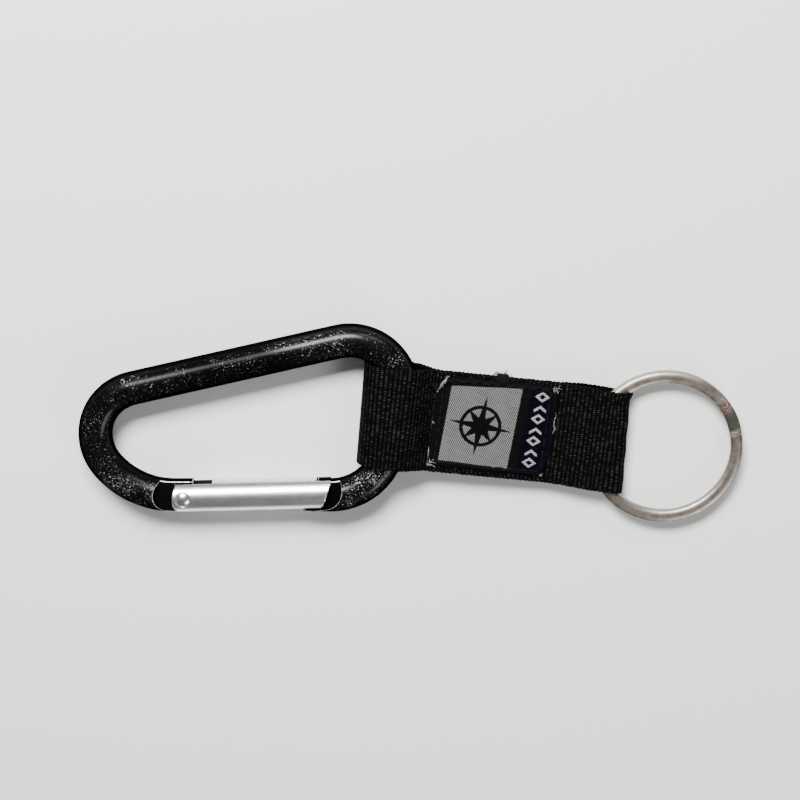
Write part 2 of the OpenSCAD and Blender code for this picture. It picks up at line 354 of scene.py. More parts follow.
# Millimetres in the gate's frame: x along the gate, y from the gate to the back bar, z up, with
# the origin on the rod's centreline.
ROD_R = 4.0
ROD_STEP, ROUND_SIDES = 0.4, 72
GATE_LINE = 37.1
HINGE_END_X = -2.9
BENDS = ((14.2, 0, 76), (12.2, 76, 193), (11.7, 193, 309), (20.15, 309, 360))
HINGE_TANG_X = 1.8
NOSE_TANG_X = 27.7
NOSE_TANG_TOP_X = 31.4
TANG_T = 3.2
HINGE_RECESS = (-3.35, 0.5, 4.3)
NOSE_RECESS = (31.9, 1.9, 5.1)
# Half the reach of a cutter that has to clear the rod.
CLEAR = 3 * ROD_R
RIVET_AT = Vector((-0.6, -0.25, 0))
GATE_FRAME = Matrix.Translation(RIVET - RIVET_AT * MM)


def smooth(x):
    """0 below 0, 1 above 1, eased between."""
    x = np.clip(x, 0, 1)
    return x * x * (3 - 2 * x)


def circle(count, phase=0.0):
    """Angles of evenly spaced points round a circle."""
    return phase + np.arange(count) * 2 * math.pi / count


def heading(deg):
    return np.array([math.cos(math.radians(deg)), math.sin(math.radians(deg))])


def bend_vector(r, a, b):
    a, b = math.radians(a), math.radians(b)
    return r * np.array([math.sin(b) - math.sin(a), math.cos(a) - math.cos(b)])


def rod_straights():
    """Lengths of the nose side and the back bar, which take up what the bends leave open."""
    total = np.array([GATE_LINE, 0.0]) + sum(bend_vector(*b) for b in BENDS)
    directions = np.array([heading(BENDS[0][2]), heading(BENDS[1][2])]).T
    return np.linalg.solve(directions, -total)


def rod_path(step):
    """Points of the rod's centreline and their headings, from the nose tongue to the hinge tongue."""
    points, degs = [], []
    at = np.array([HINGE_END_X + GATE_LINE, 0.0])
    nose_side, back_bar = rod_straights()
    for x in np.arange(NOSE_TANG_X - 1, at[0] - step / 2, step):
        points.append((x, 0.0))
        degs.append(0.0)
    for (r, a, b), straight in zip(BENDS, (nose_side, back_bar, 0.0, 0.0)):
        n = max(2, round(math.radians(b - a) * r / step))
        for i in range(n):
            deg = a + (b - a) * i / n
            points.append(tuple(at + bend_vector(r, a, deg)))
            degs.append(deg)
        at = at + bend_vector(r, a, b)
        n = round(straight / step)
        for i in range(n):
            points.append(tuple(at + straight * i / n * heading(b)))
            degs.append(b)
        at = at + straight * heading(b)
    for x in np.arange(HINGE_END_X, HINGE_TANG_X + step / 4, step):
        points.append((min(x, HINGE_TANG_X), 0.0))
        degs.append(360.0)
    points[-1] = (HINGE_TANG_X, 0.0)
    return np.array(points), np.radians(degs)


def rod_mesh():
    """Points and faces of the whole rod, closed at both ends."""
    centres, turns = rod_path(ROD_STEP)
    ring = circle(ROUND_SIDES)
    side = np.stack([-np.sin(turns), np.cos(turns)], axis=1)
    xy = centres[:, None, :] + ROD_R * np.cos(ring)[None, :, None] * side[:, None, :]
    z = np.broadcast_to(ROD_R * np.sin(ring), xy.shape[:2])
    points = np.concatenate([xy, z[..., None]], axis=2).reshape(-1, 3)
    return points, tube_faces(len(centres), ROUND_SIDES)


def recess_outline(recess, far_x, segments=40):
    """A round-ended recess, open towards far_x."""
    cx, cy, r = recess
    away = 1 if far_x > cx else -1
    arc = [math.radians(90 + 180 * i / segments) for i in range(segments + 1)]
    outline = [(cx, CLEAR)]
    outline += [(cx + away * r * math.cos(a), cy + r * math.sin(a)) for a in arc]
    outline += [(cx, -CLEAR), (far_x, -CLEAR), (far_x, CLEAR)]
    return outline if away > 0 else outline[::-1]


# The paint: a chipped ring on the back bar, a place from which the worn, lamp-lit ends of the rod are
# measured, and the height above which flecks show; the flecks crowded there are partly a painted highlight.
NICK_AT, NICK_R = (-13.9, 28.5), 0.42
WORN_LIT_FROM = (-11, 5)
WORN_LIT_NEAR, WORN_LIT_FAR = (34, 14), (42, 52)
WORN_LIT_ABOVE = (7.0, 7.4)
PAINT = (0.0012, 0.0012, 0.0014)
FLECK_DARK, FLECK_LIGHT = (0.025, 0.027, 0.031), (0.5, 0.51, 0.52)


def nick(s):
    """The chipped ring, broken in places."""
    centre = GATE_FRAME.translation / MM
    flat = s.vector("MULTIPLY", s.place, (1, 1, 0))
    away = s.vector("DISTANCE", flat, (centre.x + NICK_AT[0], centre.y + NICK_AT[1], 0))
    line = s.step(s.math("ABSOLUTE", s.math("SUBTRACT", away, NICK_R)), 0.2, 0.08)
    return s.math("MULTIPLY", line, s.step(s.noise(s.place, 1.4, 1, 0.5), 0.35, 0.42))


def rubbed_and_lit_bends(s):
    """1 at the rod's worn, lamp-lit bends, beside the gate's hinge and by the webbing; flecks there are
    partly a painted highlight.
    """
    centre = GATE_FRAME.translation / MM
    start = (centre.x + WORN_LIT_FROM[0], centre.y + WORN_LIT_FROM[1], centre.z)
    away = s.vector("DISTANCE", s.place, start)
    return s.math("MAXIMUM", s.step(away, *WORN_LIT_NEAR), s.step(away, *WORN_LIT_FAR))


def flecks(s, crest_wear_and_highlight, patches, worn):
    """Bare flecks, in patches, denser along the top and at the worn bends: partly worn paint, partly a
    painted highlight where the lamps catch the rod.
    """
    density = s.math("MULTIPLY_ADD", crest_wear_and_highlight, 0.1, s.ramp(patches, -0.14, 0.1))
    density = s.math("ADD", density, s.ramp(worn, -0.045, -0.015))
    fine = s.offset_noise((7, 40, 9), 2.6, 2, 0.6, 0.6)
    small = s.offset_noise((31, 17, 5), 4.2, 1, 0.5, 0.4)
    speck = s.math("MAXIMUM", fine, s.math("SUBTRACT", small, 0.03))
    return s.step(s.math("ADD", speck, density), 0.69, 0.75)


def black_paint():
    """Glossy black with bare silver flecks along the top of the rod, partly worn paint and partly a painted
    highlight; the milled faces stay plain.
    """
    s = Shade("black_paint", 0.24, Specular_IOR_Level=0.1)
    # Flecks crowd where the rod faces up, turned a little towards the lamps, and only near its top: partly a
    # painted highlight.
    crest_wear_and_highlight = s.step(s.vector("DOT_PRODUCT", s.normal, (-0.1, 0.12, 0.98)), 0.3, 0.85)
    high = s.step(s.vector("DOT_PRODUCT", s.place, (0, 0, 1)), *WORN_LIT_ABOVE)
    patches = s.noise(s.place, 0.16, 3, 0.6)
    worn = rubbed_and_lit_bends(s)
    mask = s.math("MULTIPLY", flecks(s, crest_wear_and_highlight, patches, worn), s.step(crest_wear_and_highlight, 0.02, 0.3))
    mask = s.math("MULTIPLY", s.math("MAXIMUM", mask, nick(s)), high)
    grey = s.offset_noise((3, 3, 3), 1.9, 2, 0.6)
    # Flecks are brighter at the bends than on the back bar: partly a painted highlight.
    bright = s.math("ADD", s.ramp(patches, -0.3, 0.2), s.ramp(worn, -0.08, 0.0))
    bright = s.step(s.math("ADD", grey, bright), 0.4, 0.68)
    s.color(s.blend(mask, PAINT, s.blend(bright, FLECK_DARK, FLECK_LIGHT)))
    s.specular(s.math("MULTIPLY", s.ramp(worn, 0.03, 0.17), s.step(s.facing(), 0.45, 0.12)))
    s.metal(s.ramp(mask, 0.0, 0.55))
    s.rough(s.ramp(mask, 0.24, 0.5))
    s.bump(s.noise(s.place, 1.1, 3, 0.6), 0.25, 0.08)
    s.bump(mask, 0.4, 0.05)
    return s.mat


def worn_edge():
    """The milled edges, where the paint has chipped down to bare metal."""
    s = Shade("worn_edge", 0.45, 0.6)
    chips = s.noise(s.place, 1.7, 3, 0.6)
    bare = s.step(chips, 0.36, 0.46)
    s.color(s.blend(bare, (0.008, 0.008, 0.009), (0.4, 0.4, 0.4)))
    s.rough(s.ramp(chips, 0.22, 0.5))
    return s.mat


def add_carabiner_body():
    points, faces = rod_mesh()
    body = new_piece("carabiner_rod", points, faces, GATE_FRAME, [black_paint(), worn_edge()])
    high = TANG_T / 2
    for recess, far_x in ((HINGE_RECESS, HINGE_TANG_X + 8), (NOSE_RECESS, NOSE_TANG_X - 8)):
        for z0, z1 in ((high, CLEAR), (-CLEAR, -high)):
            cut(body, prism(recess_outline(recess, far_x), z0, z1, GATE_FRAME))
    slope = (NOSE_TANG_TOP_X - NOSE_TANG_X) / (2 * ROD_R)
    slant = [
        (NOSE_TANG_X - slope * (CLEAR - ROD_R), -CLEAR), (NOSE_TANG_TOP_X + slope * (CLEAR - ROD_R), CLEAR),
        (NOSE_TANG_X - 8, CLEAR), (NOSE_TANG_X - 8, -CLEAR),
    ]
    cut(body, prism(slant, -CLEAR, CLEAR, GATE_FRAME))
    bevel_cuts(body.data, 0.16, 2, material=1)
    sharpen(body.data, 32)
    keep(body, "carabiner", "black_rod", "carabiner_body")


# ---------------------------------------------------------------- gate

# The gate's own frame is the gate frame turned about the rivet to where the closed gate lies.
GATE_LIFT = math.radians(1.5)
GATE_R, GATE_STEP = 3.8, 0.5
GATE_LEFT_X, GATE_LEFT_R = -3.2, 6.9
GATE_END_X, GATE_END_TOP_X = 32.0, 34.9
GATE_SLOT, SLOT_PLAY = 1.7, 0.05
HINGE_SLOT_END_X = 6.3
SEAT_R, RIVET_SEAT_Z = 1.72, 3.35
GATE_AXIS = (
    Matrix.Translation(RIVET) @ Matrix.Rotation(GATE_LIFT, 4, "Z")
    @ Matrix.Translation(Vector((-RIVET_AT.x, 0, 0)) * MM)
)


def satin_metal(name, tone, rough):
    """Metal brushed along x, with pits and a faint cloud."""
    s = Shade(name, rough, 1.0)
    drawn = s.vector("MULTIPLY", s.place, (0.12, 5.0, 5.0))
    brush = s.noise(drawn, 1.6, 4, 0.65)
    pits = s.step(s.noise(s.place, 2.4, 3, 0.6), 0.66, 0.8)
    cloud = s.noise(s.place, 0.35, 3, 0.6)
    light = s.blend(s.step(cloud, 0.3, 0.75), tuple(0.86 * t for t in tone), tone)
    s.color(s.blend(s.math("MULTIPLY", pits, 0.55), light, tuple(0.3 * t for t in tone)))
    s.rough(s.math("ADD", s.ramp(brush, rough - 0.1, 0.2), s.math("MULTIPLY", pits, 0.15)))
    s.bump(brush, 0.22, 0.05)
    s.bump(pits, -0.4, 0.06)
    return s.mat


def half_plane(bottom_x, top_x, side):
    """Everything left (side -1) or right (side 1) of a slanted line, as an outline."""
    slope = (top_x - bottom_x) / (2 * ROD_R)
    tall = 2 * ROD_R
    low, high = (bottom_x - slope * ROD_R, -tall), (top_x + slope * ROD_R, tall)
    reach = 12 * side
    outline = [low, (top_x + reach, -tall), (top_x + reach, tall), high]
    return outline if side > 0 else outline[::-1]


def gate_cutters():
    """Outline, lower and upper height of everything that is taken off the gate's round bar."""
    tall = 2 * ROD_R
    centre = GATE_LEFT_X + GATE_LEFT_R
    arc = [math.radians(130 + 100 * i / 32) for i in range(33)]
    nose = [(centre + GATE_LEFT_R * math.cos(a), GATE_LEFT_R * math.sin(a)) for a in arc]
    nose += [(GATE_LEFT_X - 2, nose[-1][1]), (GATE_LEFT_X - 2, nose[0][1])]
    left, right = GATE_LEFT_X - 1, HINGE_SLOT_END_X
    slot = [(left, -tall), (right, -tall), (right, tall), (left, tall)]
    nose_slot = half_plane(NOSE_TANG_X - SLOT_PLAY, NOSE_TANG_TOP_X - SLOT_PLAY, 1)
    seat = [(RIVET_AT.x + SEAT_R * math.cos(a), SEAT_R * math.sin(a)) for a in circle(48)]
    return (
        (nose[::-1], -tall, tall),
        (half_plane(GATE_END_X, GATE_END_TOP_X, 1), -tall, tall),
        (slot, -GATE_SLOT, GATE_SLOT),
        (nose_slot, -GATE_SLOT, GATE_SLOT),
        (seat, RIVET_SEAT_Z, tall),
        (seat, -tall, -RIVET_SEAT_Z),
    )


def in_slot(face):
    """Whether a face is a wall of one of the gate's two slots, or the end of its hinge slot."""
    at = GATE_AXIS.inverted() @ face.center / MM
    if abs(at.z) > GATE_SLOT + 0.02 or HINGE_SLOT_END_X + 0.05 < at.x < NOSE_TANG_X - 1:
        return False
    return abs(face.normal.z) > 0.9 or abs(at.x - HINGE_SLOT_END_X) < 0.05


def add_gate():
    xs = np.arange(GATE_LEFT_X, GATE_END_TOP_X + 1, GATE_STEP)
    points = [(x, GATE_R * math.cos(a), GATE_R * math.sin(a)) for x in xs for a in circle(ROUND_SIDES)]
    bright = satin_metal("satin_aluminium", (0.88, 0.88, 0.87), 0.5)
    # The walls inside the slots take a near-black copy of the gate's metal: painted shade.
    dull = satin_metal("slot_wall_painted_shade", (0.05, 0.05, 0.05), 0.6)
    gate = new_piece("sprung_gate", points, tube_faces(len(xs), ROUND_SIDES), GATE_AXIS, [bright, dull])
    for outline, z0, z1 in gate_cutters():
        cut(gate, prism(outline, z0, z1, GATE_AXIS))
    bevel_cuts(gate.data, 0.2, 3, material=0)
    for face in gate.data.polygons:
        if in_slot(face):
            face.material_index = 1
    sharpen(gate.data, 35)
    keep(gate, "gate", "bare_gate", "gate")


def dress_small_metal():
    """Procedural finishes for the CAD nodes that are shown as they are."""
    rivet = satin_metal("rivet_satin", (0.84, 0.84, 0.83), 0.46)
    wire = satin_metal("spring_wire", (0.5, 0.5, 0.5), 0.25)
    for node, mat in (("gate_rivet", rivet), ("gate_plunger", wire), ("gate_spring", wire)):
        mesh = frame["nodes"][node].data
        mesh.materials.clear()
        mesh.materials.append(mat)
        shade_smooth(mesh)


# ---------------------------------------------------------------- webbing

# Millimetres in the strap's frame: u along the strap from inside the carabiner, v across it,
# z up from the surface that the keyring lies on.
NECK_U, RING_NECK_U = 15.6, 45.4
ALONG = Vector((ACROSS.y, -ACROSS.x, 0))
UP = Vector((0, 0, 1))


def frame_matrix(x, y, z, origin):
    return Matrix.Translation(origin) @ Matrix((x, y, z)).transposed().to_4x4()


STRAP_ORIGIN = NECK - ALONG * NECK_U * MM
STRAP_FRAME = frame_matrix(ALONG, ACROSS, UP, Vector((STRAP_ORIGIN.x, STRAP_ORIGIN.y, 0)))
MIDDLE_X = (RING_NECK - NECK).normalized()
MIDDLE_FRAME = frame_matrix(MIDDLE_X, ACROSS, MIDDLE_X.cross(ACROSS), NECK)
MIDDLE_L = (RING_NECK - NECK).length / MM
MIDDLE_TILT = math.asin((NECK.z - RING_NECK.z) / MM / MIDDLE_L)
WEBBING_T = 1.1
WEBBING_HALF = 12.25
# The left fold goes round the rod: its centre, where its level top ends, its inner radius, and
# the angles at which the strap falls from it to the neck and, below, rises to the neck.
ROD_U, CREST_U, ROD_FOLD_R = 4.28, 8.5, 4.15
ROD_Z = NECK.z / MM + math.tan(MIDDLE_TILT) * (NECK_U - CREST_U)
TOP_FALL, LOW_RISE = math.radians(40), math.radians(36)
# The right fold goes round the ring: its height, half the height of the ring's two turns, and
# where the fold's level stretch starts and ends.
RING_Z = RING_CENTRE.z / MM
TURNS_HALF, RING_CREST_U, RING_FOLD_U = 1.61, 52.3, 62.6
# Spacing of the rows across the strap and of the floats in a row.
PICK = 1.0
END = 0.52
FLOATS = 48


def middle_point(u, offset):
    """A point on the sewn middle: offset is its height over the mid-plane between the layers."""
    along = (u - NECK_U) / math.cos(MIDDLE_TILT)
    return np.array([
        NECK_U + along * math.cos(MIDDLE_TILT) + offset * math.sin(MIDDLE_TILT),
        NECK.z / MM - along * math.sin(MIDDLE_TILT) + offset * math.cos(MIDDLE_TILT),
    ])


def rounded(corners, radii, step=0.05):
    """A dense path through the corners, each rounded to its radius, then evenly resampled."""
    path = [np.array(corners[0], float)]
    for before, at, after, r in zip(corners, corners[1:], corners[2:], radii):
        a, b = (np.array(at) - before), (np.array(after) - at)
        a, b = a / np.linalg.norm(a), b / np.linalg.norm(b)
        turn = math.acos(max(-1, min(1, float(a @ b))))
        trim = r * math.tan(turn / 2)
        side = math.copysign(1, a[0] * b[1] - a[1] * b[0])
        start = np.array(at) - a * trim
        centre = start + side * r * np.array([-a[1], a[0]])
        spoke = start - centre
        n = max(2, math.ceil(r * turn / step))
        for i in range(n + 1):
            t = side * turn * i / n
            path.append(centre + np.array([
                spoke[0] * math.cos(t) - spoke[1] * math.sin(t),
                spoke[0] * math.sin(t) + spoke[1] * math.cos(t),
            ]))
    path.append(np.array(corners[-1], float))
    return np.array(path)


def resampled(path, step):
    """Evenly spaced points of a path, and the run of each."""
    gaps = np.linalg.norm(np.diff(path, axis=0), axis=1)
    run = np.concatenate([[0], np.cumsum(gaps)])
    n = round(run[-1] / step)
    at = np.linspace(0, run[-1], n + 1)
    return np.stack([np.interp(at, run, path[:, k]) for k in (0, 1)], axis=1), at


def carabiner_side_path(centre_u):
    half = WEBBING_T / 2
    r = ROD_FOLD_R + half
    top, bottom = ROD_Z + r, ROD_Z - r
    left = ROD_U - r
    corner_u = CREST_U + r * math.tan(TOP_FALL / 2)
    low_join = middle_point(NECK_U, -half)
    low_corner_u = low_join[0] - (low_join[1] - bottom) / math.tan(LOW_RISE)
    corners = [
        middle_point(centre_u, half), middle_point(NECK_U, half), (corner_u, top), (left, top),
        (left, bottom), (low_corner_u, bottom), low_join, middle_point(centre_u, -half),
    ]
    return rounded(corners, [3, r, r, r, 5, 3])


def ring_side_path(centre_u):
    half = WEBBING_T / 2
    r = TURNS_HALF + half
    high, low = RING_Z + r, RING_Z - r
    neck_u = RING_NECK_U - 0.3
    corners = [
        middle_point(centre_u, half), middle_point(neck_u, half), (RING_CREST_U, high), (RING_FOLD_U, high),
        (RING_FOLD_U, low), (RING_CREST_U, low), middle_point(neck_u, -half), middle_point(centre_u, -half),
    ]
    return rounded(corners, [6, 6, r, r, 5, 4])


def weave_height(s, v, rows, seed):
    """0 in the grooves to 1 on the crowns of the floats: rows across, staggered like bricks."""
    row = np.floor(s / PICK)
    a = s / PICK - row - 0.5
    shift = 0.5 * (row % 2)
    column = np.floor(v / END + shift)
    b = v / END + shift - column - 0.5
    crown = np.sqrt(np.clip(np.cos(np.pi * a), 0, 1)) * (0.3 + 0.7 * np.cos(np.pi * b))
    rng = np.random.default_rng(seed)
    loose = rng.random((int(rows) + 4, 60))
    pick = loose[(row.astype(int)) % loose.shape[0], (column.astype(int) + 26) % 60]
    return crown * (0.82 + 0.18 * pick), pick


def bow(u):
    """How far the strap drifts across towards its carabiner end."""
    return 0.5 * smooth((60 - u) / 12) + 0.35 * smooth((18 - u) / 7)


def add_webbing(name, path, outward, seed, thin, skew, mat):
    """A strip of webbing along the path: a relief of floats outside, ribs inside, and round selvedges."""
    line, run = resampled(path, PICK / 5)
    tangent = np.gradient(line, axis=0)
    tangent /= np.linalg.norm(tangent, axis=1)[:, None]
    normal = outward * np.stack([tangent[:, 1], -tangent[:, 0]], axis=1)
    half = thin(line[:, 0]) / 2
    rib = np.abs(np.cos(np.pi * (run / PICK - 0.5)))
    uneven = [0.6 + 0.9 * abs(noise.noise(Vector((round(r / PICK) * 3.7, seed, 5)))) for r in run]
    edge = 0.24 * (1 - rib) * np.array(uneven)
    wander = 0.12 * np.array([noise.noise(Vector((r * 0.5, seed, 0))) for r in run])

    def layer(across, off):
        """Points of the rows at the places across, off the centreline by off."""
        at_edge = np.abs(across) > WEBBING_HALF - 0.01
        near_edge = np.abs(across) > WEBBING_HALF - 0.6
        y = across - np.sign(across) * edge[:, None] * at_edge + wander[:, None] * near_edge
        y = y + bow(line[:, :1])
        u = line[:, :1] + normal[:, :1] * off
        z = line[:, 1:] + normal[:, 1:] * off
        return np.stack([u + skew(u, y), y, z], axis=2)

    def selvedge(side):
        y = np.full((len(run), 2), side * (WEBBING_HALF + 0.12))
        off = np.stack([half * 0.45, -half * 0.45], axis=1)
        return layer(y, off if side > 0 else off[:, ::-1])

    v_out = np.linspace(-WEBBING_HALF, WEBBING_HALF, 4 * FLOATS + 1)
    v_in = np.linspace(WEBBING_HALF, -WEBBING_HALF, FLOATS + 1)
    s, v = np.meshgrid(run, v_out, indexing="ij")
    height, pick = weave_height(s, v, run[-1] / PICK + 1, seed)
    outer = layer(v, half[:, None] - 0.2 * (1 - height))
    inner_off = (-half + 0.08 * (1 - rib))[:, None]
    inner = layer(np.tile(v_in, (len(run), 1)), np.tile(inner_off, len(v_in)))
    loop = np.concatenate([outer, selvedge(1), inner, selvedge(-1)], axis=1)
    rows, columns = loop.shape[:2]
    obj = new_piece(name, loop.reshape(-1, 3), tube_faces(rows, columns), STRAP_FRAME, [mat])
    for attribute, values, rest in (("crown", height, 0.25), ("pick", pick, 0.5)):
        full = np.full((rows, columns), rest)
        full[:, :len(v_out)] = values
        store(obj.data, attribute, full.ravel())
    place = np.zeros((rows, columns, 3))
    place[:, :, 0] = run[:, None]
    place[:, :, 1] = loop[:, :, 1]
    store(obj.data, "weave", place.reshape(-1, 3))
    face_outwards(obj.data)
    return obj


def webbing_material():
    """Black nylon: the crowns of the floats catch a little light, unevenly."""
    s = Shade("black_webbing", 0.7, Specular_IOR_Level=0.025)
    crown, pick = s.attribute("crown"), s.attribute("pick")
    at = s.attribute("weave", "Vector")
    fibres = s.noise(s.vector("MULTIPLY", at, (1.2, 14.0, 1.0)), 1.0, 3, 0.6)
    cloud = s.noise(at, 0.14, 3, 0.6)
    lift = s.math("MULTIPLY", s.step(crown, 0.55, 0.95), s.ramp(s.math("POWER", pick, 1.6), 0.25, 1.0))
    lift = s.math("MULTIPLY", lift, s.ramp(fibres, 0.35, 1.3))
    lift = s.math("MULTIPLY", lift, s.ramp(cloud, 0.25, 1.3))
    s.color(s.blend(lift, (0.0006, 0.0006, 0.0007), (0.043, 0.041, 0.042)))
    s.rough(s.ramp(s.step(crown, 0.2, 1.0), 0.8, 0.55))
    s.bump(fibres, 0.35, 0.05)
    return s.mat


def add_strap():
    centre_u = (NECK_U + RING_NECK_U) / 2
    mat = webbing_material()

    def lean(u, y):
        """The carabiner's fold runs a little askew."""
        return smooth((CREST_U - u) / 6) * (0.41 - 0.0328 * (y + WEBBING_HALF))

    def flare(u, y):
        """The ring's fold is askew too, and its upper corner sticks out."""
        askew = -0.75 * y / WEBBING_HALF + 0.5 * smooth((y - 10.4) / 1.6) - 0.08 * np.sin(0.9 * y)
        return askew * smooth((u - 57.5) / 4)

    left = add_webbing(
        "webbing_carabiner_side", carabiner_side_path(centre_u), 1, 11,
        lambda u: WEBBING_T - 0.2 * smooth((4.0 - u) / 3), lean, mat,
    )
    right = add_webbing(
        "webbing_ring_side", ring_side_path(centre_u), -1, 23,
        lambda u: WEBBING_T - 0.3 * smooth((u - 59.5) / 2.5), flare, mat,
    )
    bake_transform(left)
    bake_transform(right)
    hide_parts("webbing_carabiner_loop", "webbing_middle")
    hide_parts("webbing_ring_loop")


# ---------------------------------------------------------------- label

# The label is drawn in the sewn middle's frame: x along the strap from its neck, y across, z up
# from the mid-plane, all in millimetres.
LABEL_Z = 1.1
LABEL_L, LABEL_W, LABEL_CELL = 28.4, 22.2, 0.11
LABEL_LOW = -10.15
# The silver field's corners, the star's centre, radii and ring, and the column of marks.
FIELD = ((3.05, -8.5), (19.6, -9.1), (20.85, 10.75), (4.1, 9.8))
STAR_AT = (12.0, 0.7)
STAR_LONG, STAR_SHORT, STAR_NOTCH, STAR_TURN = 7.6, 5.2, 2.1, 84
STAR_RING_R, STAR_RING_HALF = 4.6, 0.42
MARK_FROM, MARK_TO, MARKS = (24.65, -7.1), (25.75, 9.2), 7


def label_side_left(y):
    cut_corner = 2.3 * smooth((y - 8.2) / 3.9) ** 1.4
    return 0.65 + 0.1 * np.sin(0.35 * y + 0.6) + cut_corner + 0.5 * smooth((-8.8 - y) / 1.4)


def label_side_right(y):
    return 29.65 - 0.1 * np.sin(0.8 * y) - 1.45 * smooth((-3.5 - y) / 6.8) - 0.9 * smooth((y - 10.9) / 1.1)


def label_side_top(x):
    return 12.05 + 0.12 * np.sin(0.9 * x) + 0.1 * np.sin(2.3 * x + 1) - 0.35 * smooth((x - 26) / 3)


def label_side_bottom(x):
    return LABEL_LOW + 0.08 * np.sin(0.6 * x + 2) + 0.06 * np.sin(1.9 * x)


def polygon_distance(x, y, corners):
    """Distance to a polygon's outline, negative inside."""
    best = np.full(x.shape, 1e9)
    inside = np.zeros(x.shape, bool)
    for (ax, ay), (bx, by) in zip(corners, corners[1:] + corners[:1]):
        ex, ey = bx - ax, by - ay
        t = np.clip(((x - ax) * ex + (y - ay) * ey) / (ex * ex + ey * ey), 0, 1)
        best = np.minimum(best, np.hypot(x - ax - t * ex, y - ay - t * ey))
        crosses = (ay > y) != (by > y)
        inside ^= crosses & (x < ex * (y - ay) / (ey if ey else 1e-9) + ax)
    return np.where(inside, -best, best)


def star_corners():
    """An eight-pointed compass star, its long points a little askew."""
    corners = []
    for i in range(16):
        r = (STAR_LONG, STAR_NOTCH, STAR_SHORT, STAR_NOTCH)[i % 4]
        a = math.radians(22.5 * i + STAR_TURN)
        corners.append((STAR_AT[0] + r * math.cos(a), STAR_AT[1] + r * math.sin(a)))
    return corners


def mark_distance(x, y):
    """Distance to a column of outlined diamonds and chevrons, alternating; negative in the line."""
    best = np.full(x.shape, 1e9)
    for i, t in enumerate(np.linspace(0, 1, MARKS)):
        dx = (x - MARK_FROM[0] - (MARK_TO[0] - MARK_FROM[0]) * t) / 1.4
        dy = y - MARK_FROM[1] - (MARK_TO[1] - MARK_FROM[1]) * t
        if i % 2:
            line = np.abs(np.abs(dx) + dy - 0.25) * 0.72
            line = np.maximum(line, np.maximum(np.abs(dx) - 1.0, np.abs(dy) - 0.95) + 0.22)
        else:
            line = np.abs(np.abs(dx) + np.abs(dy) - 0.95) * 0.8
        best = np.minimum(best, line)
    return best - 0.25


def wrinkle(x, y, scale, seed):
    places = zip(x.ravel() * scale[0], y.ravel() * scale[1])
    return np.array([noise.noise(Vector((a, b, seed))) for a, b in places]).reshape(x.shape)


def label_relief(x, y):
    """Height over the webbing, the distances that the colours go by, and the weave's own relief."""
    edge = np.minimum.reduce([
        x - label_side_left(y), label_side_right(y) - x, label_side_top(x) - y, y - label_side_bottom(x),
    ])
    field = polygon_distance(x, y, list(FIELD))
    ring = np.abs(np.hypot(x - STAR_AT[0], y - STAR_AT[1]) - STAR_RING_R) - STAR_RING_HALF
    star = np.minimum(polygon_distance(x, y, star_corners()), ring)
    marks = mark_distance(x, y)

    border = smooth(field / 0.5)
    turned = 0.16 + 0.26 * smooth(edge / 0.45)
    phase = 2.1 * edge + 2.5 * wrinkle(x, y, (0.12, 0.3), 3.0)
    rolls = 0.08 * np.sin(phase) * border * smooth((4.6 - edge) / 1.5)
    phase = 6.5 * (y - 10) + 3.2 * wrinkle(x, y, (0.22, 0.5), 8.0)
    ridges = 0.13 * np.sin(phase) * smooth((y - 10.3) / 0.5)
    lumps = 0.09 * wrinkle(x, y, (0.5, 0.9), 15.0) * (0.3 + 0.7 * border)

    bias = 0.62 + 0.2 * wrinkle(x, y, (0.25, 0.25), 21.0)
    one = np.cos(2 * math.pi * (x / 0.5 + y / 0.8))
    other = np.cos(2 * math.pi * (x / 0.5 - y / 0.8))
    twill = 0.5 + 0.5 * (bias * one + (1 - bias) * other)
    cross = 0.5 + 0.5 * np.cos(2 * math.pi * y / 0.5)

    height = turned + rolls + ridges + lumps - 0.05 * (1 - border)
    height = height + 0.035 * twill * (1 - border) + 0.03 * cross * border
    height = height + 0.07 * smooth(-star / 0.25) + 0.06 * smooth(-marks / 0.2)
    return height, field, star, marks, np.where(field < 0, twill, cross)


def label_material():
    """The colours woven into the label, each with an edge as ragged as its threads."""
    s = Shade("woven_label", 0.65, Specular_IOR_Level=0.03)
    weave, at = s.attribute("twill"), s.place
    jag = s.ramp(s.noise(at, 3.2, 2, 0.6), -0.12, 0.12)

    def within(name):
        """1 inside an outline that the mesh keeps its distance from."""
        return s.step(s.math("ADD", s.attribute(name), jag), 0.08, -0.08)

    silver_mask = s.step(s.math("ADD", weave, jag), 0.34, 0.8)
    silver = s.blend(silver_mask, (0.012, 0.012, 0.013), (0.2, 0.203, 0.196))
    cloud = s.step(s.noise(at, 0.25, 3, 0.6), 0.3, 0.7)
    silver = s.blend(cloud, silver, s.blend(0.35, silver, (0.12, 0.12, 0.12)))
    navy = s.blend(weave, (0.0004, 0.0004, 0.0013), (0.001, 0.001, 0.0045))
    black = s.blend(weave, (0.0006, 0.0006, 0.0007), (0.003, 0.003, 0.0034))
    color = s.blend(s.step(s.attribute("strip"), 0.15, -0.15), black, navy)
    color = s.blend(within("field"), color, silver)
    color = s.blend(within("star"), color, (0.0015, 0.0015, 0.002))
    color = s.blend(within("marks"), color, s.blend(weave, (0.12, 0.12, 0.125), (0.3, 0.3, 0.3)))
    s.color(color)
    s.bump(s.noise(s.vector("MULTIPLY", at, (3, 9, 3)), 1.0, 2, 0.6), 0.3, 0.05)
    return s.mat


def strip_distance(x, y):
    """Distance to the navy strip, which stops short of the label's right edge; negative inside."""
    sides = np.maximum(22.3 - x + 0.05 * y, x - label_side_right(y) + 0.85 + 0.05 * y)
    return np.maximum(sides, np.abs(y - 0.6) - 9.6)


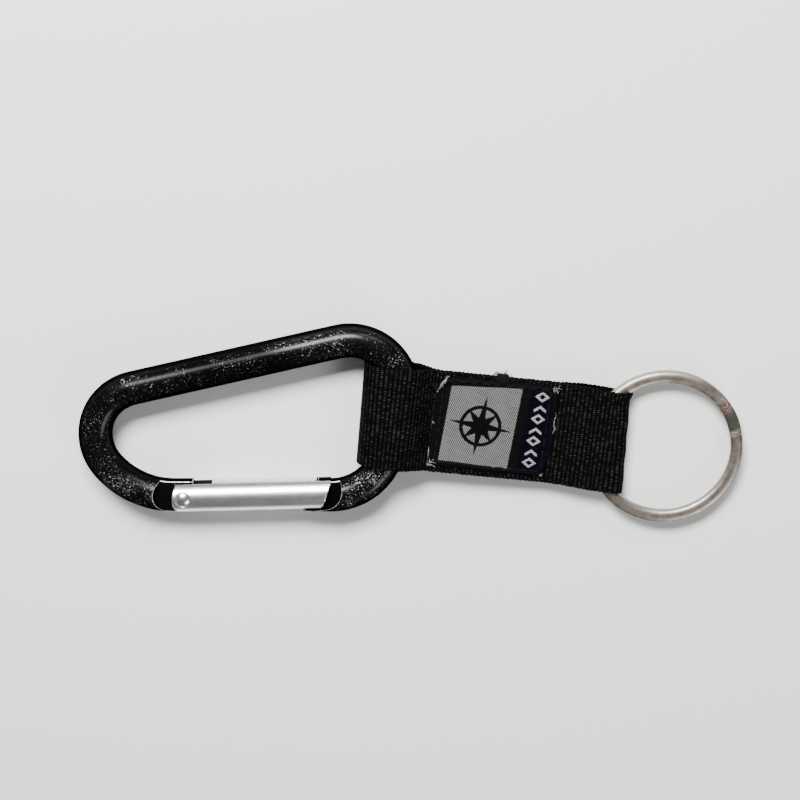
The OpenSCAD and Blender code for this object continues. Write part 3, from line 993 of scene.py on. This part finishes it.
def label_grid():
    """A grid of places that fills the label's uneven outline."""
    t = np.linspace(0, 1, round(LABEL_W / LABEL_CELL) + 1)
    r = np.linspace(0, 1, round(LABEL_L / LABEL_CELL) + 1)
    tt, rr = np.meshgrid(t, r, indexing="ij")
    y = LABEL_LOW + LABEL_W * tt
    for _ in range(3):
        x = label_side_left(y) + (label_side_right(y) - label_side_left(y)) * rr
        y = label_side_bottom(x) + (label_side_top(x) - label_side_bottom(x)) * tt
    return x, y


def add_label():
    """The woven label: a relief with turned-in edges, a silver twill field, a navy strip and marks."""
    x, y = label_grid()
    height, field, star, marks, twill = label_relief(x, y)
    rows, columns = x.shape
    points = np.stack([x, y, LABEL_Z + height], axis=2).reshape(-1, 3)
    number = np.arange(rows * columns).reshape(rows, columns)
    rim = np.concatenate([number[0], number[1:, -1], number[-1, -2::-1], number[-2:0:-1, 0]])
    under = points[rim]
    under[:, 2] = LABEL_Z - 0.12
    n = len(rim)
    low = len(points) + np.arange(n)
    faces = grid_faces(rows, columns)
    faces += [(rim[i], low[i], low[(i + 1) % n], rim[(i + 1) % n]) for i in range(n)]
    faces.append(tuple(low))
    label = new_piece("woven_label", np.concatenate([points, under]), faces, MIDDLE_FRAME, [label_material()])
    kept = {"field": field, "star": star, "marks": marks, "strip": strip_distance(x, y)}
    for name, values in kept.items():
        store(label.data, name, np.append(values.ravel(), np.full(n, 9.0)))
    store(label.data, "twill", np.append(twill.ravel(), np.full(n, 0.3)))
    face_outwards(label.data)
    sharpen(label.data, 60)
    keep(label, "strap", "label_weave", "label")


# ---------------------------------------------------------------- threads

SEAM = (2.2, -9.0, 27.6, 11.0)
STITCH_PITCH, THREAD_R = 2.7, 0.15


def tube(path, radius, sides, taper):
    """Points and faces of a closed round strand along a path; taper thins its ends."""
    path = np.asarray(path, float)
    tangent = np.gradient(path, axis=0)
    tangent /= np.linalg.norm(tangent, axis=1)[:, None] + 1e-12
    side = np.cross(tangent, (0.13, 0.21, 0.97))
    side /= np.linalg.norm(side, axis=1)[:, None] + 1e-12
    over = np.cross(side, tangent)
    r = radius * (1 - taper * np.abs(2 * np.linspace(0, 1, len(path)) - 1) ** 3)
    a = circle(sides)
    ring = np.cos(a)[None, :, None] * side[:, None, :] + np.sin(a)[None, :, None] * over[:, None, :]
    points = path[:, None, :] + r[:, None, None] * ring
    return points.reshape(-1, 3), tube_faces(len(path), sides)


def strands(name, paths, radii, sides, mat, taper=0.0):
    """One piece of several separate strands."""
    points, faces, base = [], [], 0
    for path, radius in zip(paths, radii):
        strand, around = tube(path, radius, sides, taper)
        points.append(strand)
        faces += [tuple(base + k for k in face) for face in around]
        base += len(strand)
    piece = new_piece(name, np.concatenate(points), faces, MIDDLE_FRAME, [mat])
    face_outwards(piece.data)
    return piece


def thread_material(name, dark, light, rough):
    s = Shade(name, rough, Specular_IOR_Level=0.03)
    twist = s.noise(s.vector("MULTIPLY", s.place, (5, 5, 9)), 1.0, 2, 0.6)
    s.color(s.blend(s.step(twist, 0.35, 0.65), dark, light))
    s.bump(twist, 0.4, 0.04)
    return s.mat


def stitch_lines():
    """Start and end of every stitch of the seam, a rectangle inside the label's edge."""
    x0, y0, x1, y1 = SEAM
    corners = [np.array(c) for c in ((x0, y0), (x1, y0), (x1, y1), (x0, y1))]
    lines = []
    for a, b in zip(corners, corners[1:] + corners[:1]):
        n = round(np.hypot(*(b - a)) / STITCH_PITCH)
        lines += [(a + (b - a) * (i + 0.13) / n, a + (b - a) * (i + 0.87) / n) for i in range(n)]
    return lines


def add_stitches():
    mat = thread_material("black_thread", (0.0015, 0.0015, 0.0018), (0.012, 0.012, 0.014), 0.5)
    t = np.linspace(0, 1, 11)
    arch = np.sin(math.pi * t) ** 0.5
    over, under = [], []
    for a, b in stitch_lines():
        x, y = (p + (q - p) * t for p, q in zip(a, b))
        over.append(np.stack([x, y, LABEL_Z + label_relief(x, y)[0] - 0.28 + 0.36 * arch], axis=1))
        under.append(np.stack([x, y, -LABEL_Z + 0.3 - 0.38 * arch], axis=1))
    for name, paths, node in (
        ("label_stitches", over, "label_needle_thread"), ("back_stitches", under, "label_bobbin_thread"),
    ):
        keep(strands(name, paths, [THREAD_R] * len(paths), 8, mat), "strap", "thread", node)


def wisp(rng, start, end, wave, lift):
    """A loose fibre from start to end with a random bend, lying on the label or sticking out."""
    t = np.linspace(0, 1, 14)
    along = end - start
    side = np.array([-along[1], along[0]]) / (np.hypot(*along) + 1e-9)
    bend = rng.uniform(-1, 1) * np.sin(math.pi * t)
    bend = wave * (bend + rng.uniform(-0.5, 0.5) * np.sin(2 * math.pi * t))
    xy = start + along * t[:, None] + side * bend[:, None]
    z = LABEL_Z + 0.3 + lift * (0.3 + 0.7 * np.sin(math.pi * t)) * rng.uniform(0.5, 1.0)
    return np.column_stack([xy, z])


def corner_fibres(rng):
    """Fibres along the cut corner at the label's upper left."""
    paths = []
    for _ in range(16):
        t = rng.uniform(0, 0.8)
        start = np.array([0.7 + 1.9 * t, 7.6 + 4.1 * t]) + rng.normal(0, 0.12, 2)
        end = start + np.array([0.9, 1.5]) * rng.uniform(0.5, 1.3) + rng.normal(0, 0.22, 2)
        paths.append(wisp(rng, start, end, 0.3, 0.35))
    return paths


def edge_fibres(rng, count, x, ys, lean, lengths, wave, lift):
    """Fibres that run up a side edge of the label."""
    paths = []
    for _ in range(count):
        start = np.array([x, rng.uniform(*ys)])
        end = start + (rng.normal(0, lean), rng.uniform(*lengths))
        paths.append(wisp(rng, start, end, wave, lift))
    return paths


def knot(rng, count, at, spread, reach, wave, lift, pull=(0, 0)):
    """Short fibres that start round a place and end any way from there."""
    paths = []
    for _ in range(count):
        start = np.array(at) + rng.normal(0, spread, 2)
        paths.append(wisp(rng, start, start + rng.normal(0, reach, 2) + pull, wave, lift))
    return paths


def tuft(rng):
    """A bunch of thread that sticks out over the strap's upper edge, and a few stray ends."""
    paths = []
    for _ in range(60):
        start = np.array([15.9, 11.8]) + rng.normal(0, (0.8, 0.25))
        end = np.array([15.7, 13.6]) + rng.normal(0, (0.7, 0.45))
        paths.append(wisp(rng, start, end, 1.1, 0.5))
    for _ in range(5):
        start = np.array([15.7, 13.0]) + rng.normal(0, (0.5, 0.2))
        end = start + (rng.normal(0, 0.5), rng.uniform(0.8, 1.5))
        paths.append(wisp(rng, start, end, 0.5, 0.4))
    return paths


def add_loose_threads():
    rng = np.random.default_rng(5)
    paths = corner_fibres(rng)
    paths += edge_fibres(rng, 3, 0.62, (-8.8, -6.4), 0.08, (1.4, 2.6), 0.08, 0.25)
    paths += knot(rng, 12, (1.0, -9.4), 0.35, 0.7, 0.4, 0.4)
    paths += knot(rng, 4, (0.75, 0.6), 0.15, 0.5, 0.2, 0.3)
    paths += edge_fibres(rng, 5, 29.5, (-0.2, 4.0), 0.2, (1.2, 2.2), 0.3, 0.3)
    paths += knot(rng, 9, (28.7, 11.6), 0.4, 0.6, 0.3, 0.35, pull=(0.3, -0.5))
    paths += knot(rng, 5, (27.8, -9.9), 0.3, 0.4, 0.2, 0.3)
    radii = rng.uniform(0.05, 0.085, len(paths))
    pale = thread_material("frayed_backing", (0.05, 0.05, 0.05), (0.32, 0.32, 0.31), 0.7)
    keep(strands("frayed_label_edge", paths, radii, 5, pale, taper=0.6), "strap", "thread")
    paths = tuft(rng)
    dark = thread_material("black_tuft", (0.0012, 0.0012, 0.0014), (0.01, 0.01, 0.011), 0.7)
    keep(strands("black_thread_tuft", paths, [0.11] * len(paths), 5, dark, taper=0.4), "strap", "thread")


# ---------------------------------------------------------------- split ring

RING_R, WIRE_W, WIRE_H, TURN_GAP = 18.6, 2.9, 1.42, 0.04
RING_FRAME = Matrix.Translation(RING_CENTRE)
# Angles round the ring, falling from the upper turn's cut end to the lower turn's, and where the
# wire dives from one turn to the other.
FIRST_DEG, LAST_DEG, RING_STEP = 371, -327, 1.5
DIVE_FROM, DIVE_TO = 31, 11


def wire_outline(top_power, low_power):
    """Section of the wire, counter-clockwise: crowned outside, flatter inside the split."""
    points = []
    for a in circle(40):
        power = 2 / (top_power if a < math.pi else low_power)
        w, h = (math.copysign(abs(c) ** power, c) for c in (math.cos(a), math.sin(a)))
        points.append((WIRE_W / 2 * w, WIRE_H / 2 * h))
    return np.array(points)


def ring_metal():
    """Dulled nickel plate, darker where the wire dives as a painted dark reflection, with rust beside it."""
    s = Shade("ring_nickel", 0.3, 1.0)
    at = s.attribute("wire", "Vector")
    drawn = s.noise(s.vector("MULTIPLY", at, (0.25, 7.0, 1.0)), 1.0, 4, 0.65)
    worn = s.noise(s.place, 0.6, 3, 0.6)
    tone = s.blend(s.step(worn, 0.3, 0.7), (0.235, 0.206, 0.178), (0.36, 0.317, 0.275))
    # Where the wire dives the tone turns near-black: a painted dark reflection.
    dive_dark_reflection = s.attribute("dive_dark_reflection")
    tone = s.blend(s.math("MULTIPLY", dive_dark_reflection, 0.85), tone, (0.05, 0.055, 0.045))
    spots = s.step(s.noise(s.place, 2.1, 4, 0.7), 0.46, 0.52)
    rust = s.math("MULTIPLY", s.attribute("rust"), spots)
    pits = s.step(s.noise(s.place, 3.2, 3, 0.6), 0.64, 0.76)
    tone = s.blend(s.math("MULTIPLY", pits, 0.6), tone, (0.08, 0.07, 0.06))
    s.color(s.blend(rust, tone, (0.05, 0.017, 0.007)))
    s.metal(s.ramp(rust, 1.0, 0.1))
    dull = s.math("MULTIPLY", s.math("MAXIMUM", rust, dive_dark_reflection), 0.3)
    s.rough(s.math("ADD", s.ramp(drawn, 0.33, 0.5), dull))
    s.bump(drawn, 0.22, 0.05)
    s.bump(rust, 0.5, 0.05)
    return s.mat


def add_ring():
    """Two turns of one wire, the upper diving to the lower beside its own cut end."""
    angles = np.arange(FIRST_DEG, LAST_DEG - 0.1, -RING_STEP)
    fall = smooth((DIVE_FROM - angles) / (DIVE_FROM - DIVE_TO))
    z = (WIRE_H + TURN_GAP) / 2 * (1 - 2 * fall)
    front = smooth((angles - 260) / 60)
    back = smooth((20 - angles) / 30) * smooth((angles + 110) / 60)
    radius = RING_R - WIRE_W / 2 - 0.1 * front + 0.12 * back
    upper, lower = wire_outline(2.1, 4.5), wire_outline(4.5, 2.1)
    points, places = [], []
    for deg, height, r, f in zip(angles, z, radius, fall):
        inset = 0.86 if deg in (angles[0], angles[-1]) else 1
        a = math.radians(deg)
        for j, (w, h) in enumerate((upper * (1 - f) + lower * f) * inset):
            points.append(((r + w) * math.cos(a), (r + w) * math.sin(a), height + h))
            places.append((r * a, 0.35 * j, 0))
    faces = tube_faces(len(angles), len(upper))
    ring = new_piece("coiled_split_ring", points, faces, RING_FRAME, [ring_metal()])
    at = np.repeat(angles, len(upper))
    store(ring.data, "rust", smooth((at - 27) / 4) * smooth((46 - at) / 7))
    store(ring.data, "dive_dark_reflection", smooth((at - DIVE_TO) / 5) * smooth((DIVE_FROM + 3 - at) / 5))
    store(ring.data, "wire", places)
    face_outwards(ring.data)
    sharpen(ring.data, 50)
    keep(ring, "ring", "ring_steel", "split_ring")


add_camera()
add_floor()
add_lights()
add_carabiner_body()
add_gate()
dress_small_metal()
add_strap()
add_label()
add_stitches()
add_loose_threads()
add_ring()
